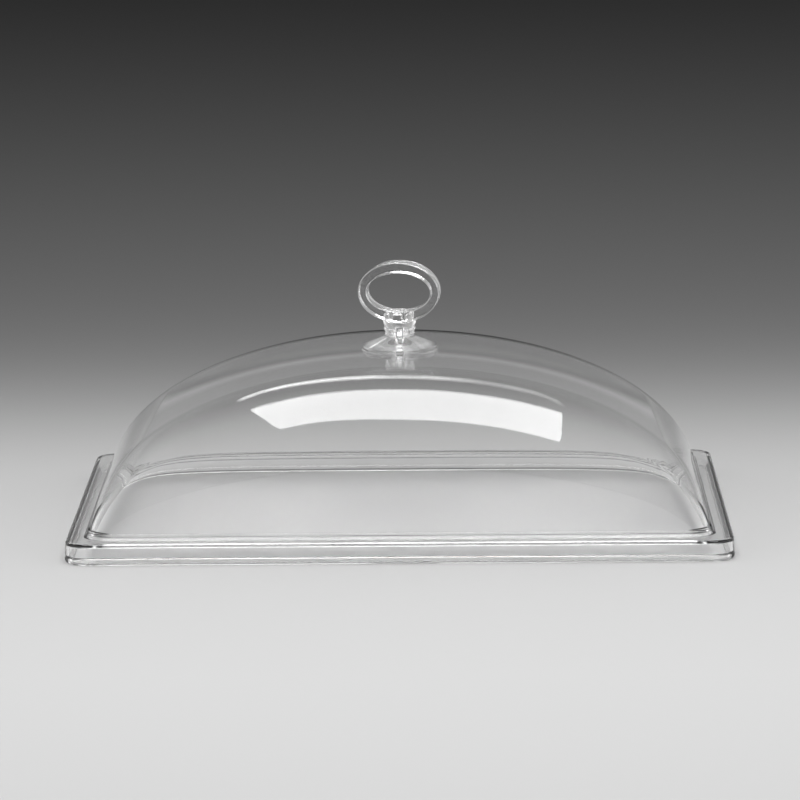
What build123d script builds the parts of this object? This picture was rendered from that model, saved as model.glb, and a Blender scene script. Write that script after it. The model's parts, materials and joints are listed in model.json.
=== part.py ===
from build123d import *
import math
import os

# Clear moulded food cover with a ring handle, in millimetres.
# +X runs along the cover, +Y towards its back, +Z up. The origin is on the table under the middle.

# Cover, overall
cover_length = 530.0
cover_depth = 325.0
crown_height = 141.0
wall = 3.0

# Rim: a flat ledge, a short skirt with a round bead along its foot, and a small step at the foot of the vault
rim_height = 17.0
rim_corner_radius = 18.0
rim_edge_radius = 1.5
rim_inner_edge_radius = 0.8
skirt_flare = 0.8
foot_bead_radius = 3.0
foot_bead_lip = 0.3
foot_bead_flat = 0.25
ledge_width = 18.0
step_width = 1.2
step_height = 4.5
step_corner_radius = 15.0
step_edge_radius = 0.9
cove_radius = 3.0

# Vault: half-ellipse arches along X, a little lower towards the front and back and rounded off there
spring_depth = 5.0
crown_drop = 4.0
top_sections = 8
shoulder_radius = 72.0
shoulder_power = 2.5
shoulder_sections = 12
vault_corner_radius = 16.0

# Flat seats for the handle, above and below the top of the vault
seat_margin = 1.2
seat_rise = 0.4
inner_seat_margin = 2.0
inner_seat_rise = 0.2

# Fixing
screw_radius = 3.0
screw_clearance = 0.25
thread_clearance = 0.05
thread_depth = 12.0
bore_tip_gap = 0.6
screw_head_radius = 8.0
screw_head_edge = 1.5
screw_head_crown = 2.5
screw_slot_width = 1.6
screw_slot_depth = 2.0
inner_washer_radius = 15.0
inner_washer_thickness = 1.5
seal_inset = 3.3
seal_thickness = 0.6

# Neck: a low cone with a thin edge under a short round neck
disc_radius = 30.3
disc_edge = 2.0
disc_edge_radius = 0.9
cone_height = 7.0
neck_radius = 12.0
neck_height = 14.5
neck_fillet_radius = 3.0
spigot_wall = 2.5
spigot_length = 9.0

# Crown: a collar with claws in front of and behind the ring
bead_radius = 1.1
collar_height = 7.5
collar_edge = 0.9
claw_thickness = 6.4
claw_flare = 0.6
claw_rise = 7.0
claw_edge_radius = 0.9
notch_width = 3.4
notch_spacing = 10.8

# Ring
ring_width = 66.5
ring_height = 49.5
band_side = 7.0
band_top = 8.75
ring_depth = 15.5
ring_edge_radius = 1.1
ring_clearance = 0.1
saddle_depth = 1.0
ring_turn = -8.0

# Levels and sizes worked out from the above
spring_z = rim_height - spring_depth
arch_half_length = cover_length / 2 - ledge_width
arch_half_depth = cover_depth / 2 - ledge_width
arch_rise = crown_height - spring_z
seat_radius = disc_radius + seat_margin
inner_seat_radius = inner_washer_radius + inner_seat_margin
seal_radius = disc_radius - seal_inset
seat_z = crown_height + seat_rise
seal_top = seat_z + seal_thickness
neck_top = seal_top + neck_height
collar_top = neck_top + collar_height
claw_top = collar_top + claw_rise
ring_centre_z = collar_top - saddle_depth + ring_height / 2
hole_width = ring_width - 2 * band_side
hole_height = ring_height - 2 * band_top
hole_radius = screw_radius + screw_clearance
thread_radius = screw_radius + thread_clearance
spigot_radius = thread_radius + spigot_wall
crown_radius = ring_depth / 2 + ring_clearance + claw_thickness
collar_radius = crown_radius - claw_flare
screw_top = neck_top - spigot_length + thread_depth


def arch_level(half_length, rise, x):
    """Height of an arch above the table at a distance x from its middle."""
    return spring_z + rise * math.sqrt(1 - (x / half_length) ** 2)


seat_root_z = arch_level(arch_half_length, arch_rise, seat_radius) - wall / 2
inner_seat_z = arch_level(arch_half_length - wall, arch_rise - wall, inner_seat_radius) - inner_seat_rise
washer_bottom = inner_seat_z - inner_washer_thickness


def arch_face(y, half_length, rise):
    """Half ellipse standing on the springing level, in the upright plane at y."""
    plane = Plane(origin=(0, y, spring_z), x_dir=(1, 0, 0), z_dir=(0, -1, 0))
    arc = EllipticalCenterArc((0, 0), half_length, rise, arc_size=180)
    base = Line((-half_length, 0), (half_length, 0))
    return plane * make_face([arc, base])


def vault(half_length, half_depth, rise, shoulder, corner):
    """Solid under the vault: arches that sink slowly across its top and then round over each shoulder."""
    flat = half_depth - shoulder
    reaches = [flat * step / top_sections for step in range(top_sections)]
    for step in range(shoulder_sections + 1):
        reaches.append(flat + shoulder * math.sin(math.pi / 2 * step / shoulder_sections))
    sections = []
    for y in [-reach for reach in reversed(reaches)] + reaches[1:]:
        reach = abs(y)
        out = min(1, max(0, reach - flat) / shoulder)
        drop = shoulder * (1 - math.sqrt(1 - out**shoulder_power)) + crown_drop * (reach / half_depth) ** 2
        into_corner = min(corner, max(0, reach - half_depth + corner))
        drawn_in = corner - math.sqrt(corner**2 - into_corner**2)
        sections.append(arch_face(y, half_length - drawn_in, rise - drop))
    return loft(sections)


def rim_outline(inset):
    """The rim's outline in plan, drawn in by inset all round."""
    return RectangleRounded(cover_length - 2 * inset, cover_depth - 2 * inset, rim_corner_radius - inset)


def rim_with_step(inset, edge_radius):
    """Low block under the ledge with the vault's foot step on it, drawn in by inset all round."""
    height = rim_height - inset
    taper = math.degrees(math.atan2(skirt_flare, height))
    block = extrude(rim_outline(inset + foot_bead_lip), amount=height, taper=taper)
    block = fillet(block.faces().sort_by(Axis.Z)[-1].edges(), edge_radius)

    step_inset = inset + ledge_width - step_width
    step_outline = RectangleRounded(
        cover_length - 2 * step_inset,
        cover_depth - 2 * step_inset,
        step_corner_radius - inset,
    )
    block += extrude(step_outline, amount=height + step_height)
    levels = block.faces().filter_by(Plane.XY).sort_by(Axis.Z)
    block = fillet(levels[-1].edges(), step_edge_radius)
    levels = block.faces().filter_by(Plane.XY).sort_by(Axis.Z)
    return fillet(levels[-2].inner_wires()[0].edges(), cove_radius)


def cover_form(inset, edge_radius):
    """The cover's whole outside, or with an inset of one wall the hollow inside it."""
    dome = vault(
        arch_half_length - inset,
        arch_half_depth - inset,
        arch_rise - inset,
        shoulder_radius - inset,
        vault_corner_radius - inset,
    )
    return rim_with_step(inset, edge_radius) + dome


def foot_bead():
    """Round bead along the skirt's foot, flat where it stands on the table."""
    path = Pos(0, 0, foot_bead_radius - foot_bead_flat) * rim_outline(foot_bead_radius).face().outer_wire()
    section = Plane(origin=path @ 0, z_dir=path % 0) * Circle(foot_bead_radius)
    return split(sweep(section, path=path), bisect_by=Plane.XY, keep=Keep.TOP)


def upright_cylinder(radius, low, high):
    """Cylinder on the handle's axis between two levels."""
    return Pos(0, 0, low) * Cylinder(radius, high - low, align=(Align.CENTER, Align.CENTER, Align.MIN))


def make_cover_shell():
    """Vault, ledge and skirt in one moulding, with a flat seat each side of the handle's hole."""
    shell = cover_form(0, rim_edge_radius) - cover_form(wall, rim_inner_edge_radius)
    shell += foot_bead()
    shell += upright_cylinder(seat_radius, seat_root_z, seat_z)
    shell += upright_cylinder(inner_seat_radius, inner_seat_z, crown_height - wall / 2)
    return shell - upright_cylinder(hole_radius, washer_bottom, seal_top)


def make_seal_washer():
    """Thin soft washer between the cover's seat and the neck's disc."""
    washer = upright_cylinder(seal_radius, seat_z, seal_top)
    return washer - upright_cylinder(hole_radius, seat_z, seal_top)


def make_inner_washer():
    """Washer under the vault that spreads the screw's load."""
    washer = upright_cylinder(inner_washer_radius, washer_bottom, inner_seat_z)
    washer = fillet(washer.edges().sort_by(Axis.Z)[0], inner_washer_thickness / 2)
    return washer - upright_cylinder(hole_radius, washer_bottom, inner_seat_z)


def make_handle_screw():
    """Plain-shanked screw with a domed slotted head under the inner washer."""
    edge_z = washer_bottom - screw_head_edge
    tip_z = edge_z - screw_head_crown
    profile = make_face(
        [
            Line((0, washer_bottom), (screw_head_radius, washer_bottom)),
            Line((screw_head_radius, washer_bottom), (screw_head_radius, edge_z)),
            RadiusArc(
                (screw_head_radius, edge_z),
                (0, tip_z),
                (screw_head_radius**2 + screw_head_crown**2) / (2 * screw_head_crown),
            ),
            Line((0, tip_z), (0, washer_bottom)),
        ]
    )
    head = revolve(Plane.XZ * profile, Axis.Z)
    slot = Pos(0, 0, tip_z) * Box(
        2 * screw_head_radius + screw_slot_width, screw_slot_width, 2 * screw_slot_depth
    )
    return head - slot + upright_cylinder(screw_radius, washer_bottom, screw_top)


def make_handle_neck():
    """Low cone with a thin edge, rising into a round neck with a socket for the crown's spigot."""
    edge_z = seal_top + disc_edge
    cone_z = edge_z + cone_height
    profile = make_face(
        Polyline(
            (0, seal_top),
            (disc_radius, seal_top),
            (disc_radius, edge_z),
            (neck_radius, cone_z),
            (neck_radius, neck_top),
            (0, neck_top),
            close=True,
        )
    )
    waist = profile.vertices().sort_by_distance((neck_radius, cone_z, 0))[0]
    profile = fillet(waist, neck_fillet_radius)
    rim = profile.vertices().sort_by(Axis.X)[-2:]
    profile = fillet(rim, disc_edge_radius)
    neck = revolve(Plane.XZ * profile, Axis.Z)
    socket_z = neck_top - spigot_length - bore_tip_gap
    neck -= upright_cylinder(spigot_radius + thread_clearance, socket_z, neck_top)
    return neck - upright_cylinder(hole_radius, seal_top, neck_top)


def ring_band(width, height, depth):
    """Upright oval prism about the ring's centre, its flat faces to the front and back."""
    plane = Plane(origin=(0, 0, ring_centre_z), x_dir=(1, 0, 0), z_dir=(0, -1, 0))
    return extrude(plane * Ellipse(width / 2, height / 2), amount=depth / 2, both=True)


def make_handle_crown():
    """Collar on a spigot, slotted across for the ring and notched into three claws each side."""
    bead_top = neck_top + 2 * bead_radius
    profile = make_face(
        [
            Line((0, neck_top), (neck_radius, neck_top)),
            ThreePointArc(
                (neck_radius, neck_top),
                (neck_radius + bead_radius, neck_top + bead_radius),
                (neck_radius, bead_top),
            ),
            Line((neck_radius, bead_top), (collar_radius, collar_top - collar_edge)),
            Line((collar_radius, collar_top - collar_edge), (crown_radius, claw_top)),
            Line((crown_radius, claw_top), (0, claw_top)),
            Line((0, claw_top), (0, neck_top)),
        ]
    )
    claw_tip = profile.vertices().sort_by_distance((crown_radius, claw_top, 0))[0]
    profile = fillet(claw_tip, claw_edge_radius)
    crown = revolve(Plane.XZ * profile, Axis.Z)
    crown += upright_cylinder(spigot_radius, neck_top - spigot_length, collar_top - saddle_depth)

    gap = 2 * ring_clearance
    crown -= ring_band(ring_width + gap, ring_height + gap, ring_depth + gap)
    notch_length = 4 * crown_radius
    for side in (-1, 1):
        x = side * notch_spacing / 2
        notch = Pos(x, 0, claw_top) * Box(notch_width, notch_length, 2 * claw_rise - notch_width)
        notch += Pos(x, 0, collar_top + notch_width / 2) * Rot(90, 0, 0) * Cylinder(notch_width / 2, notch_length)
        crown -= notch
    crown -= upright_cylinder(thread_radius, neck_top - spigot_length, screw_top + bore_tip_gap)
    return Rot(0, 0, ring_turn) * crown


def make_handle_ring():
    """Oval finger ring with a flat band and rounded edges."""
    ring = ring_band(ring_width, ring_height, ring_depth) - ring_band(hole_width, hole_height, 2 * ring_depth)
    flat_faces = ring.faces().filter_by(GeomType.PLANE)
    ring = fillet(flat_faces.edges(), ring_edge_radius)
    return Rot(0, 0, ring_turn) * ring


makers = {
    "cover_shell": make_cover_shell,
    "seal_washer": make_seal_washer,
    "inner_washer": make_inner_washer,
    "handle_screw": make_handle_screw,
    "handle_neck": make_handle_neck,
    "handle_crown": make_handle_crown,
    "handle_ring": make_handle_ring,
}

os.makedirs("parts", exist_ok=True)
for node, maker in makers.items():
    export_step(maker(), f"parts/{node}.step")
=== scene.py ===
import json
import math

import bmesh
import bpy
from mathutils import Matrix, Vector


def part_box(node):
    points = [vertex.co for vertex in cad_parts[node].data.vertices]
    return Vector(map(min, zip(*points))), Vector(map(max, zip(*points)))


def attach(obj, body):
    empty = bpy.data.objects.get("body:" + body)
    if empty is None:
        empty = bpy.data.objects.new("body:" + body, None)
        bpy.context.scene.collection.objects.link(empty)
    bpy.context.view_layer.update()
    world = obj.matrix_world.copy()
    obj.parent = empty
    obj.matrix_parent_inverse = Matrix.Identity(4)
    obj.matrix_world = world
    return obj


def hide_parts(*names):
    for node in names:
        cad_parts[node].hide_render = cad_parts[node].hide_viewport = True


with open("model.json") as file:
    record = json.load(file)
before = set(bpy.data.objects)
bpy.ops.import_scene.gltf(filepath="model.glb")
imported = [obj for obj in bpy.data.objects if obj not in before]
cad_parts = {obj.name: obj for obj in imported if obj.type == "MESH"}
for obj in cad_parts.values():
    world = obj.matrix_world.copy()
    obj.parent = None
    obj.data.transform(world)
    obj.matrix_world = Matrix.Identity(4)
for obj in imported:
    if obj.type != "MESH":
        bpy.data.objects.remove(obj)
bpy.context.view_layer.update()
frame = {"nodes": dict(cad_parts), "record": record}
nodes = frame["nodes"]
scene = bpy.context.scene

# camera, as fitted to the rim's outline in the photograph
CAMERA_TARGET = Vector((-0.0003, 0.0, 0.097))
CAMERA_DISTANCE = 3.277
CAMERA_PITCH = math.radians(12.2)
CAMERA_YAW = math.radians(-0.78)
CAMERA_ROLL = math.radians(-0.583)
CAMERA_SENSOR_MM = 36.0
CAMERA_LENS_MM = 179.7

# clear plastics: their refraction, the light that a face lets through, and roughness from polished to worn
ACRYLIC_IOR = 1.49
SEAL_IOR = 1.46
CLEAR_TINT = (0.999, 0.999, 0.999)
SCREW_TINT = (0.75, 0.75, 0.75)
SEAL_TINT = (0.985, 0.988, 0.988)
POLISHED = (0.0, 0.01)
FROSTED = (0.5, 0.6)
SATIN = (0.1, 0.2)

# ripple in the polish, as ripples to the metre and their height, and the noise that spreads the wear
COVER_RIPPLE = (14.0, 0.0000002)
HANDLE_RIPPLE = (60.0, 0.0000005)
RING_RIPPLE = (450.0, 0.0002)
SEAL_RIPPLE = (200.0, 0.000005)
RIPPLE_DETAIL = 2.0
WEAR_SCALE = 9.0
WEAR_DETAIL = 6.0
WEAR_START = 0.3
WEAR_END = 0.7

# the cover's sizes, as in the solids
WALL = 0.003
RIM_HEIGHT = 0.017
RIM_CORNER_RADIUS = 0.018
RIM_EDGE_RADIUS = 0.0015
RIM_INNER_EDGE_RADIUS = 0.0008
SKIRT_FLARE = 0.0008
FOOT_BEAD_RADIUS = 0.003
FOOT_BEAD_LIP = 0.0003
FOOT_BEAD_FLAT = 0.00025
LEDGE_WIDTH = 0.018
STEP_WIDTH = 0.0012
STEP_HEIGHT = 0.0045
STEP_CORNER_RADIUS = 0.015
STEP_EDGE_RADIUS = 0.0009
COVE_RADIUS = 0.003
SPRING_DEPTH = 0.005
SHOULDER_RADIUS = 0.072
SHOULDER_POWER = 2.5
CROWN_DROP = 0.004
VAULT_CORNER_RADIUS = 0.016
SEAT_RISE = 0.0004
SEAT_RADIUS = 0.0315
INNER_SEAT_RISE = 0.0002
INNER_SEAT_RADIUS = 0.017
SCREW_HOLE_RADIUS = 0.00325

# fineness of the meshes
ARCH_STEPS = 120
SHOULDER_STEPS = 24
FLAT_STEPS = 24
WALL_STEPS = 8
CORNER_STEPS = 14
FILLET_STEPS = 8
BEAD_STEPS = 16
SEAT_STEPS = 6
HALVINGS = 40
NUDGE = 0.0001
WELD = 0.000001
SHARP_ANGLE = math.radians(32.0)
FACE_AREA_WEIGHT = 100

# half width of the square patch round the handle's hole, and the hair by which a piece is refitted
SEAT_PATCH = 0.05
CONTACT_GAP = 0.00002

# which way the foot bead bulges on a face, and the numbers of two axes
OUTWARD = -1
INWARD = 1
X_AXIS = 0
Z_AXIS = 2

# overhead softbox: its outline, from back left round to the middle of the left side
LIGHT_HEIGHT = 2.8
SOFTBOX_OUTLINE = [
    (-1.13, 0.95), (-0.72, 0.9), (-0.03, 0.58), (0.5, 0.59), (1.18, 0.83), (1.07, -0.79),
    (1.03, -2.42), (0.58, -2.25), (-0.04, -2.21), (-0.52, -1.85), (-0.79, -1.88), (-0.92, -0.57),
]
SOFTBOX_RADIANCE = 3.5
SOFTBOX_GLOSS_RADIANCE = 6.8

# narrow strip of light behind the softbox: its middle line from left to right, brighter on the left
STRIP_LINE = [
    (-1.53, 3.98), (-1.23, 4.37), (-0.9, 3.93), (-0.35, 3.09),
    (0.26, 2.79), (0.74, 2.95), (1.12, 3.06), (1.3, 2.39),
]
STRIP_DEPTH = 0.9
STRIP_RADIANCE = 3.6
STRIP_DIM_RADIANCE = 1.4
STRIP_DIM_PLACE = 0.6

# backdrop: its grey by the angle off the way straight back, and how much paler the studio is to both sides
BACKDROP_ANGLE = math.radians(20.0)
BACKDROP = [
    (math.radians(angle), grey)
    for angle, grey in [
        (0.0, 0.02), (3.0, 0.03), (6.0, 0.1), (9.0, 0.2), (11.2, 0.26),
        (12.0, 0.2), (12.6, 0.42), (13.2, 0.29), (16.0, 0.29), (20.0, 0.36),
    ]
]
SIDES_START = 0.6
SIDES_END = 0.95
SIDES_GAIN = 4.0

# floor: painted light, a pale band round the object, dimmer behind it and far in front, paler far to the
# sides
FLOOR_HALF = 9.0
FLOOR_NEAR_GREY = 0.70
FLOOR_DIM_GREY = 0.222
FLOOR_DIM_FADE = 0.42
FLOOR_BAND_GREY = 0.43
FLOOR_BACK_EDGE = 0.355
FLOOR_BACK_FADE = 7.0
FLOOR_FRONT_EDGE = -1.6
FLOOR_FRONT_FADE = 3.0
FLOOR_SIDE_START = 0.85
FLOOR_SIDE_END = 1.6
FLOOR_SIDE_GREY = 0.5
# how much nearer the painted pale sides start where plastic mirrors the floor, a painted reflection
FLOOR_MIRRORED_SHIFT = 0.65

# bounces that light may take in the clear pieces
LIGHT_BOUNCES = 32
GLOSS_BOUNCES = 16
TRANSPARENT_BOUNCES = 64


def add_camera():
    """The photograph's camera, with no shift."""
    back = Vector((
        -math.sin(CAMERA_YAW) * math.cos(CAMERA_PITCH),
        -math.cos(CAMERA_YAW) * math.cos(CAMERA_PITCH),
        math.sin(CAMERA_PITCH),
    ))
    level = Vector((math.cos(CAMERA_YAW), -math.sin(CAMERA_YAW), 0.0))
    upright = back.cross(level)
    right = math.cos(CAMERA_ROLL) * level + math.sin(CAMERA_ROLL) * upright
    up = back.cross(right)
    data = bpy.data.cameras.new("camera")
    data.sensor_width = CAMERA_SENSOR_MM
    data.lens = CAMERA_LENS_MM
    camera = bpy.data.objects.new("camera", data)
    turn = Matrix((right, up, back)).transposed().to_4x4()
    camera.matrix_world = Matrix.Translation(CAMERA_TARGET + CAMERA_DISTANCE * back) @ turn
    scene.collection.objects.link(camera)
    scene.camera = camera


class Nodes:
    """A short way to write a node tree."""

    def __init__(self, tree):
        self.tree = tree
        tree.nodes.clear()

    def add(self, kind, inputs=None, **settings):
        """A node with its settings. An input is a plain value or another node's output."""
        node = self.tree.nodes.new(kind)
        for name, value in settings.items():
            setattr(node, name, value)
        for key, value in (inputs or {}).items():
            if isinstance(value, bpy.types.NodeSocket):
                self.tree.links.new(value, node.inputs[key])
            else:
                node.inputs[key].default_value = value
        return node

    def math(self, operation, *values):
        """The output of a math node."""
        return self.add("ShaderNodeMath", dict(enumerate(values)), operation=operation).outputs[0]


def new_material(name):
    """A material with an empty node tree."""
    material = bpy.data.materials.new(name)
    material.use_nodes = True
    return material, Nodes(material.node_tree)


def clear_plastic(name, ior, tint, roughness, ripple):
    """Clear moulded plastic with a faint ripple in its polish."""
    material, n = new_material(name)
    ripple_scale, ripple_height = ripple
    place = n.add("ShaderNodeTexCoord").outputs["Object"]
    waves = n.add("ShaderNodeTexNoise", {"Vector": place, "Scale": ripple_scale, "Detail": RIPPLE_DETAIL})
    bump = n.add("ShaderNodeBump", {
        "Height": waves.outputs["Fac"], "Strength": 1.0, "Distance": ripple_height,
    })
    wear = n.add("ShaderNodeTexNoise", {"Vector": place, "Scale": WEAR_SCALE, "Detail": WEAR_DETAIL})
    rough = n.add("ShaderNodeMapRange", {
        "Value": wear.outputs["Fac"], "From Min": WEAR_START, "From Max": WEAR_END,
        "To Min": roughness[0], "To Max": roughness[1],
    })
    plastic = n.add("ShaderNodeBsdfPrincipled", {
        "Base Color": (*tint, 1.0), "Roughness": rough.outputs["Result"], "IOR": ior,
        "Transmission Weight": 1.0, "Normal": bump.outputs["Normal"],
    })
    n.add("ShaderNodeOutputMaterial", {"Surface": plastic.outputs[0]})
    return material


def turns(start, end, steps):
    """Evenly spaced values, both ends included."""
    return [start + (end - start) * i / steps for i in range(steps + 1)]


class Skin:
    """A closed mesh put together from rows of points."""

    def __init__(self):
        self.points = []
        self.faces = []

    def row(self, points):
        """Adds points and returns their numbers."""
        start = len(self.points)
        self.points += points
        return list(range(start, len(self.points)))

    def loops(self, loops):
        """Faces between closed loops, each joined to the next. A repeated point makes a triangle."""
        for low, high in zip(loops, loops[1:]):
            for corners in zip(low, low[1:] + low[:1], high[1:] + high[:1], high):
                self.faces.append(list(dict.fromkeys(corners)))

    def mesh(self, name):
        mesh = bpy.data.meshes.new(name)
        mesh.from_pydata(self.points, [], self.faces)
        return mesh


def stand_in(name, mesh, node, body, drawn_in=0.0):
    """A finer or refitted piece in place of a node, with its faces shaded smooth up to sharp edges."""
    work = bmesh.new()
    work.from_mesh(mesh)
    bmesh.ops.remove_doubles(work, verts=work.verts, dist=WELD)
    bmesh.ops.recalc_face_normals(work, faces=work.faces)
    work.normal_update()
    for vert in work.verts:
        vert.co -= drawn_in * vert.normal
    work.to_mesh(mesh)
    work.free()
    mesh.shade_smooth()
    mesh.set_sharp_from_angle(angle=SHARP_ANGLE)
    piece = bpy.data.objects.new(name, mesh)
    scene.collection.objects.link(piece)
    weights = piece.modifiers.new("face_weights", "WEIGHTED_NORMAL")
    weights.keep_sharp = True
    weights.weight = FACE_AREA_WEIGHT
    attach(piece, body)
    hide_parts(node)
    return piece


class CoverFace:
    """The cover's outer face, or with an inset of one wall its inner face."""

    def __init__(self, skin, side, inset, edge_radius):
        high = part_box("cover_shell")[1]
        self.skin = skin
        self.side = side
        self.inset = inset
        self.edge_radius = edge_radius
        self.half_length = high.x
        self.half_depth = high.y
        self.spring = RIM_HEIGHT - SPRING_DEPTH
        self.arch_half_length = high.x - LEDGE_WIDTH
        self.arch_half_depth = high.y - LEDGE_WIDTH
        self.flat_half_depth = self.arch_half_depth - SHOULDER_RADIUS
        self.rise = high.z - SEAT_RISE - self.spring
        self.ledge = RIM_HEIGHT - inset
        self.foot = self.ledge + STEP_HEIGHT
        self.shares = [2 * i / ARCH_STEPS - 1 for i in range(ARCH_STEPS + 1)]
        shoulder = turns(1.0, 2.0, SHOULDER_STEPS)
        flat = [math.sin(a) for a in turns(-math.pi / 2, math.pi / 2, FLAT_STEPS)[1:-1]]
        self.ways = [-way for way in reversed(shoulder)] + flat + shoulder
        widest = self.foot_angle(self.ways[0])
        self.along = [math.sin(share * widest) / math.sin(widest) for share in self.shares]
        sides = [self.place(way, self.foot_angle(way)).y for way in self.ways]
        self.across = [side / sides[-1] for side in sides]

    def outer_place(self, way, angle):
        """Place on the outer face, by the angle along the vault's arch and the way across it from its middle.
        The shoulders, from 1 to 2 on the way, start gently."""
        share = math.cos(angle)
        turn = max(0.0, abs(way) - 1) * math.pi / 2
        out = math.sin(turn)
        upright = math.copysign(math.sqrt(max(0.0, 1 - out ** SHOULDER_POWER)), math.cos(turn))
        y = min(abs(way), 1.0) * self.flat_half_depth + SHOULDER_RADIUS * out
        drop = share * (SHOULDER_RADIUS * (1 - upright) + CROWN_DROP * (y / self.arch_half_depth) ** 2)
        into_corner = max(0.0, y - self.arch_half_depth + VAULT_CORNER_RADIUS)
        drawn_in = VAULT_CORNER_RADIUS - math.sqrt(max(0.0, VAULT_CORNER_RADIUS ** 2 - into_corner ** 2))
        return (
            (self.arch_half_length - drawn_in) * math.sin(angle),
            math.copysign(y, way),
            self.spring + self.rise * share - drop,
        )

    def heading(self, way, angle, way_step, angle_step):
        """Direction in which the outer face runs through a place."""
        before = self.outer_place(way - way_step, angle - angle_step)
        after = self.outer_place(way + way_step, angle + angle_step)
        return Vector([b - a for a, b in zip(before, after)]).normalized()

    def place(self, way, angle):
        """Place on this face, one inset under the outer face."""
        across = self.heading(way, angle, NUDGE, 0.0)
        along = self.heading(way, angle, 0.0, NUDGE)
        outward = along.cross(across).normalized()
        return Vector(self.outer_place(way, angle)) - self.inset * outward

    def angle_at(self, way, axis, value):
        """Angle along an arch at which one coordinate of this face takes a value."""
        low, high = 0.0, math.pi / 2 - 2 * NUDGE
        falling = self.place(way, low)[axis] > self.place(way, high)[axis]
        for _ in range(HALVINGS):
            middle = (low + high) / 2
            if (self.place(way, middle)[axis] > value) == falling:
                low = middle
            else:
                high = middle
        return low

    def foot_angle(self, way):
        """Angle along an arch at which it comes down to the foot step."""
        return self.angle_at(way, Z_AXIS, self.foot)

    def arch_row(self, way, lift=1.0):
        """One arch. A lift below 1 brings it down towards the foot step, for the upright walls."""
        widest = self.foot_angle(way)
        points = []
        for share in self.shares:
            x, y, top = self.place(way, share * widest)
            points.append((x, y, self.foot + lift * (top - self.foot)))
        return self.skin.row(points)

    def vault_level(self, x, y):
        """Height of the vault's top, away from its shoulders."""
        return self.place(y / self.flat_half_depth, self.angle_at(0.0, X_AXIS, abs(x))).z

    def vault(self, hole_radius):
        """The vault as rows of arches. Returns its foot loop and the loop round its hole."""
        lifts = [i / WALL_STEPS for i in range(WALL_STEPS)]
        arches = [self.arch_row(way) for way in self.ways]
        front = [self.arch_row(self.ways[0], lift) for lift in lifts]
        back = [self.arch_row(self.ways[-1], lift) for lift in reversed(lifts)]
        rows = front + arches + back
        places = self.skin.points
        left, right = [
            min(range(ARCH_STEPS + 1), key=lambda i: abs(places[arches[len(arches) // 2][i]][0] - x))
            for x in (-SEAT_PATCH, SEAT_PATCH)
        ]
        near, far = [
            min(range(len(rows)), key=lambda i: abs(places[rows[i][ARCH_STEPS // 2]][1] - y))
            for y in (-SEAT_PATCH, SEAT_PATCH)
        ]
        for r, (low, high) in enumerate(zip(rows, rows[1:])):
            for c in range(ARCH_STEPS):
                if not (near <= r < far and left <= c < right):
                    self.skin.faces.append((low[c], low[c + 1], high[c + 1], high[c]))
        edge = rows[near][left:right]
        edge += [row[right] for row in rows[near:far]]
        edge += rows[far][right:left:-1]
        edge += [row[left] for row in rows[far:near:-1]]
        foot = self.foot_loop(rows[0], [row[-1] for row in arches], rows[-1], [row[0] for row in arches])
        return foot, self.hole(edge, hole_radius)

    def foot_loop(self, front, right, back, left):
        """The vault's foot, with each corner repeated to match the rounded corners below it."""
        loop = []
        for side in (front, right, back[::-1], left[::-1]):
            loop += side + [side[-1]] * (CORNER_STEPS - 1)
        return loop

    def hole(self, edge, radius):
        """Rows from the edge of a patch in the vault to a round hole in its middle."""
        outline = [self.skin.points[i][:2] for i in edge]
        rows = [edge]
        for step in range(1, SEAT_STEPS + 1):
            share = step / SEAT_STEPS
            points = []
            for x, y in outline:
                scale = 1 - share + share * radius / math.hypot(x, y)
                points.append((x * scale, y * scale, self.vault_level(x * scale, y * scale)))
            rows.append(self.skin.row(points))
        self.skin.loops(rows)
        return rows[-1]

    def rim_loop(self, inset, z, corner_radius):
        """A rounded rectangle, with points that match the vault's rows."""
        straight_x = self.half_length - inset - corner_radius
        straight_y = self.half_depth - inset - corner_radius
        points = []
        for turn, shares in enumerate((self.along, self.across, self.along, self.across)):
            run, reach = (straight_x, straight_y) if turn % 2 == 0 else (straight_y, straight_x)
            arc = turns(0.0, math.pi / 2, CORNER_STEPS)[1:-1]
            side = [(run * s, -reach - corner_radius) for s in shares]
            side += [(run + corner_radius * math.sin(a), -reach - corner_radius * math.cos(a)) for a in arc]
            for _ in range(turn):
                side = [(-v, u) for u, v in side]
            points += [(u, v, z) for u, v in side]
        return self.skin.row(points)

    def rim(self):
        """Loops from the table round the foot bead, over the ledge and up to the top of the foot step."""
        lean = math.atan2(SKIRT_FLARE, self.ledge)
        skirt = self.inset + FOOT_BEAD_LIP
        bead_z = FOOT_BEAD_RADIUS - FOOT_BEAD_FLAT
        offset = self.side * (skirt + bead_z * math.tan(lean) - FOOT_BEAD_RADIUS) / FOOT_BEAD_RADIUS
        bead_end = math.acos(offset * math.cos(lean)) - self.side * lean
        profile = [
            (FOOT_BEAD_RADIUS * (1 + self.side * math.cos(a)), bead_z + FOOT_BEAD_RADIUS * math.sin(a))
            for a in turns(-math.asin(bead_z / FOOT_BEAD_RADIUS), bead_end, BEAD_STEPS)
        ]
        bend_z = self.ledge - self.edge_radius
        bend = skirt + bend_z * math.tan(lean) + self.edge_radius / math.cos(lean)
        profile += [
            (bend - self.edge_radius * math.cos(a), bend_z + self.edge_radius * math.sin(a))
            for a in turns(lean, math.pi / 2, FILLET_STEPS)
        ]
        loops = [self.rim_loop(i, z, RIM_CORNER_RADIUS - i) for i, z in profile]
        step = self.inset + LEDGE_WIDTH - STEP_WIDTH
        right_angle = turns(0.0, math.pi / 2, FILLET_STEPS)
        step_profile = [
            (step - COVE_RADIUS * (1 - math.sin(a)), self.ledge + COVE_RADIUS * (1 - math.cos(a)))
            for a in right_angle
        ]
        step_profile += [
            (step + STEP_EDGE_RADIUS * (1 - math.cos(a)), self.foot - STEP_EDGE_RADIUS * (1 - math.sin(a)))
            for a in right_angle
        ]
        corner = STEP_CORNER_RADIUS - self.inset
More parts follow.
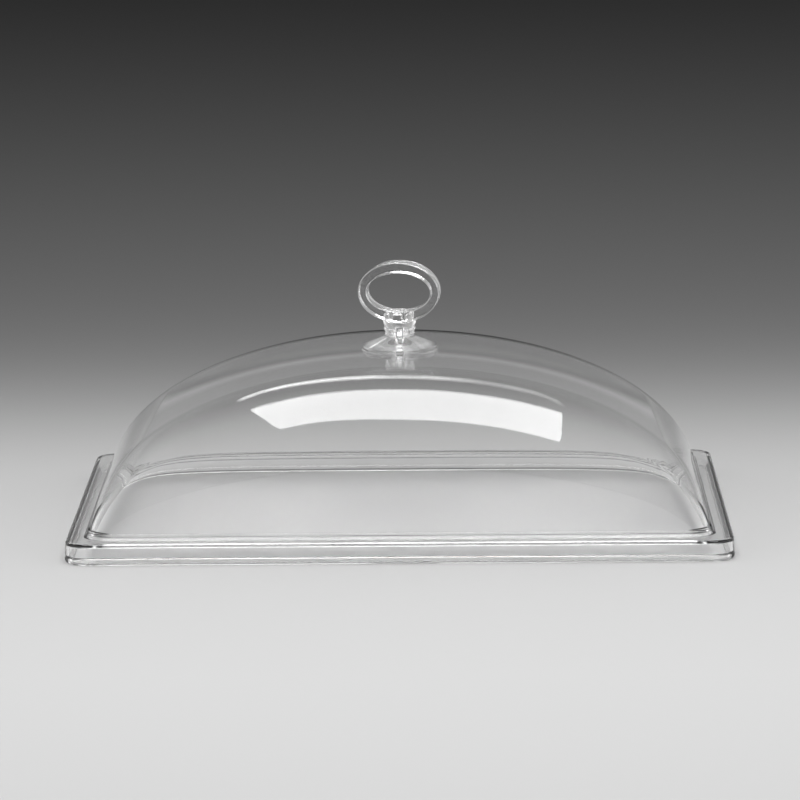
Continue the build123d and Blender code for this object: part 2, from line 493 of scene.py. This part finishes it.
        return loops + [self.rim_loop(i, z, corner + step - i) for i, z in step_profile]

    def seat(self, loop, radius, z):
        """A loop drawn to another radius and level."""
        points = []
        for i in loop:
            x, y, _ = self.skin.points[i]
            scale = radius / math.hypot(x, y)
            points.append((x * scale, y * scale, z))
        return self.skin.row(points)


def make_cover():
    """The cover's shell: both faces, joined under the skirt and through the screw's hole."""
    skin = Skin()
    outer = CoverFace(skin, OUTWARD, 0.0, RIM_EDGE_RADIUS)
    inner = CoverFace(skin, INWARD, WALL, RIM_INNER_EDGE_RADIUS)
    outer_foot, outer_hole = outer.vault(SEAT_RADIUS)
    inner_foot, inner_hole = inner.vault(INNER_SEAT_RADIUS)
    skin.loops([outer_foot] + outer.rim()[::-1] + inner.rim() + [inner_foot])
    seat_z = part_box("cover_shell")[1].z
    inner_seat_z = inner.vault_level(INNER_SEAT_RADIUS, 0.0) - INNER_SEAT_RISE
    skin.loops([
        outer_hole,
        outer.seat(outer_hole, SEAT_RADIUS, seat_z),
        outer.seat(outer_hole, SCREW_HOLE_RADIUS, seat_z),
        inner.seat(inner_hole, SCREW_HOLE_RADIUS, inner_seat_z),
        inner.seat(inner_hole, INNER_SEAT_RADIUS, inner_seat_z),
        inner_hole,
    ])
    return stand_in("cover_moulding", skin.mesh("cover_moulding"), "cover_shell", "cover")


def refit(node, body, drawn_in):
    """The node a hair smaller, so that its clear faces don't coincide with those that they touch, or with a
    negative hair larger, so that light passes into the pieces that it touches as through a wet joint."""
    mesh = nodes[node].data.copy()
    mesh.transform(nodes[node].matrix_world)
    return stand_in(node + "_refit", mesh, node, body, drawn_in)


def add_floor():
    """A matt floor with a band of light painted into its grey, which fades towards the back and the front."""
    mesh = bpy.data.meshes.new("floor")
    corners = [(-1, -1), (1, -1), (1, 1), (-1, 1)]
    mesh.from_pydata([(FLOOR_HALF * x, FLOOR_HALF * y, 0.0) for x, y in corners], [], [(0, 1, 2, 3)])
    floor = bpy.data.objects.new("floor", mesh)
    scene.collection.objects.link(floor)
    mesh.materials.append(floor_painted_light())


def floor_painted_light():
    """Matt grey floor whose grey is painted light, by the place on the floor. Its painted pale sides start
    nearer where plastic mirrors them, a painted reflection.
    """
    material, n = new_material("floor_painted_light")
    place = n.add("ShaderNodeTexCoord").outputs["Object"]
    axes = n.add("ShaderNodeSeparateXYZ", {0: place}).outputs
    x, y = axes["X"], axes["Y"]
    fade = n.math("EXPONENT", n.math("MULTIPLY", y, -FLOOR_DIM_FADE))
    dim = n.math("MULTIPLY", fade, FLOOR_DIM_GREY)
    behind = n.math("MULTIPLY", n.math("SUBTRACT", y, FLOOR_BACK_EDGE), FLOOR_BACK_FADE)
    band = n.math("DIVIDE", FLOOR_BAND_GREY, n.math("ADD", 1.0, n.math("EXPONENT", behind)))
    # painted reflection: the floor's painted pale sides start nearer in the plastic's reflections
    mirrored = n.add("ShaderNodeLightPath").outputs["Is Glossy Ray"]
    nearer = n.math("MULTIPLY", mirrored, FLOOR_MIRRORED_SHIFT)
    aside = n.add("ShaderNodeMapRange", {
        "Value": n.math("ADD", n.math("ABSOLUTE", x), nearer),
        "From Min": FLOOR_SIDE_START, "From Max": FLOOR_SIDE_END,
        "To Min": 0.0, "To Max": FLOOR_SIDE_GREY,
    }, clamp=True).outputs[0]
    # painted light: the floor's grey from its painted band, dim back and pale sides
    lit = n.math("MINIMUM", n.math("ADD", n.math("ADD", dim, band), aside), FLOOR_NEAR_GREY)
    in_front = n.math("MULTIPLY", n.math("SUBTRACT", FLOOR_FRONT_EDGE, y), FLOOR_FRONT_FADE)
    grey = n.math("DIVIDE", lit, n.math("ADD", 1.0, n.math("EXPONENT", in_front)))
    shade = n.add("ShaderNodeCombineColor", {0: grey, 1: grey, 2: grey}).outputs[0]
    painted_floor = n.add("ShaderNodeBsdfDiffuse", {"Color": shade})
    n.add("ShaderNodeOutputMaterial", {"Surface": painted_floor.outputs[0]})
    return material


def add_glow(name, outline, material):
    """A flat glowing shape overhead, which the camera doesn't see directly."""
    mesh = bpy.data.meshes.new(name)
    mesh.from_pydata([(x, y, LIGHT_HEIGHT) for x, y in outline], [], [range(len(outline))])
    mesh.materials.append(material)
    glow = bpy.data.objects.new(name, mesh)
    glow.visible_camera = False
    scene.collection.objects.link(glow)
    return glow


def add_softbox():
    """The main light, brighter where the plastic mirrors it than where it lights the floor."""
    material, n = new_material("softbox_cloth")
    mirrored = n.add("ShaderNodeLightPath").outputs["Is Glossy Ray"]
    strength = n.add("ShaderNodeMapRange", {
        "Value": mirrored, "To Min": SOFTBOX_RADIANCE, "To Max": SOFTBOX_GLOSS_RADIANCE,
    })
    glow = n.add("ShaderNodeEmission", {"Strength": strength.outputs[0]})
    n.add("ShaderNodeOutputMaterial", {"Surface": glow.outputs[0]})
    add_glow("softbox", SOFTBOX_OUTLINE, material)


def add_strip():
    """The narrow light, which only shows as a thin line mirrored in the vault."""
    material, n = new_material("strip_cloth")
    place = n.add("ShaderNodeTexCoord").outputs["Object"]
    x = n.add("ShaderNodeSeparateXYZ", {0: place}).outputs["X"]
    strength = n.add("ShaderNodeMapRange", {
        "Value": x, "From Min": 0.0, "From Max": STRIP_DIM_PLACE,
        "To Min": STRIP_RADIANCE, "To Max": STRIP_DIM_RADIANCE,
    })
    glow = n.add("ShaderNodeEmission", {"Strength": strength.outputs[0]})
    n.add("ShaderNodeOutputMaterial", {"Surface": glow.outputs[0]})
    near_edge = [(x, y - STRIP_DEPTH / 2) for x, y in STRIP_LINE]
    far_edge = [(x, y + STRIP_DEPTH / 2) for x, y in reversed(STRIP_LINE)]
    add_glow("strip", near_edge + far_edge, material).visible_diffuse = False


def add_world():
    """A dim studio, paler to both sides, with a dark backdrop straight behind the cover."""
    world = bpy.data.worlds.new("studio")
    scene.world = world
    world.use_nodes = True
    n = Nodes(world.node_tree)
    direction = n.add("ShaderNodeTexCoord").outputs["Generated"]
    axes = n.add("ShaderNodeSeparateXYZ", {0: direction}).outputs
    off_straight = n.math("DIVIDE", n.math("ARCCOSINE", axes["Y"]), BACKDROP_ANGLE)
    ramp = n.add("ShaderNodeValToRGB", {"Fac": off_straight})
    stops = ramp.color_ramp.elements
    while len(stops) < len(BACKDROP):
        stops.new(1.0)
    for stop, (angle, grey) in zip(stops, BACKDROP):
        stop.position = angle / BACKDROP_ANGLE
        stop.color = (grey, grey, grey, 1.0)
    sides = n.add("ShaderNodeMapRange", {
        "Value": n.math("ABSOLUTE", axes["X"]),
        "From Min": SIDES_START, "From Max": SIDES_END, "To Min": 1.0, "To Max": SIDES_GAIN,
    }, clamp=True).outputs[0]
    grey = n.math("MULTIPLY", ramp.outputs["Color"], sides)
    background = n.add("ShaderNodeBackground", {"Color": (1.0, 1.0, 1.0, 1.0), "Strength": grey})
    n.add("ShaderNodeOutputWorld", {"Surface": background.outputs[0]})


def dress():
    """Gives every node its material, and puts the finer and the refitted pieces in place of their nodes."""
    shell = clear_plastic("cover_acrylic", ACRYLIC_IOR, CLEAR_TINT, POLISHED, COVER_RIPPLE)
    handle = clear_plastic("handle_acrylic", ACRYLIC_IOR, CLEAR_TINT, POLISHED, HANDLE_RIPPLE)
    ring = clear_plastic("ring_acrylic", ACRYLIC_IOR, CLEAR_TINT, POLISHED, RING_RIPPLE)
    screw = clear_plastic("screw_acrylic", ACRYLIC_IOR, SCREW_TINT, FROSTED, HANDLE_RIPPLE)
    seal = clear_plastic("soft_seal", SEAL_IOR, SEAL_TINT, SATIN, SEAL_RIPPLE)
    finish = {"clear_acrylic": shell, "handle_acrylic": handle, "clear_seal": seal}
    own_finish = {"handle_ring": ring, "handle_screw": screw}
    for part in frame["record"]["subparts"]:
        mesh = nodes[part["node"]].data
        mesh.materials.clear()
        mesh.materials.append(own_finish.get(part["node"], finish[part["material_slot"]]))
    make_cover().data.materials.append(shell)
    refit("seal_washer", "cover", -CONTACT_GAP)
    refit("inner_washer", "cover", -CONTACT_GAP)
    refit("handle_crown", "handle", CONTACT_GAP)


add_camera()
dress()
add_floor()
add_world()
add_softbox()
add_strip()

scene.view_settings.view_transform = "Standard"
scene.cycles.max_bounces = LIGHT_BOUNCES
scene.cycles.transmission_bounces = LIGHT_BOUNCES
scene.cycles.glossy_bounces = GLOSS_BOUNCES
scene.cycles.transparent_max_bounces = TRANSPARENT_BOUNCES
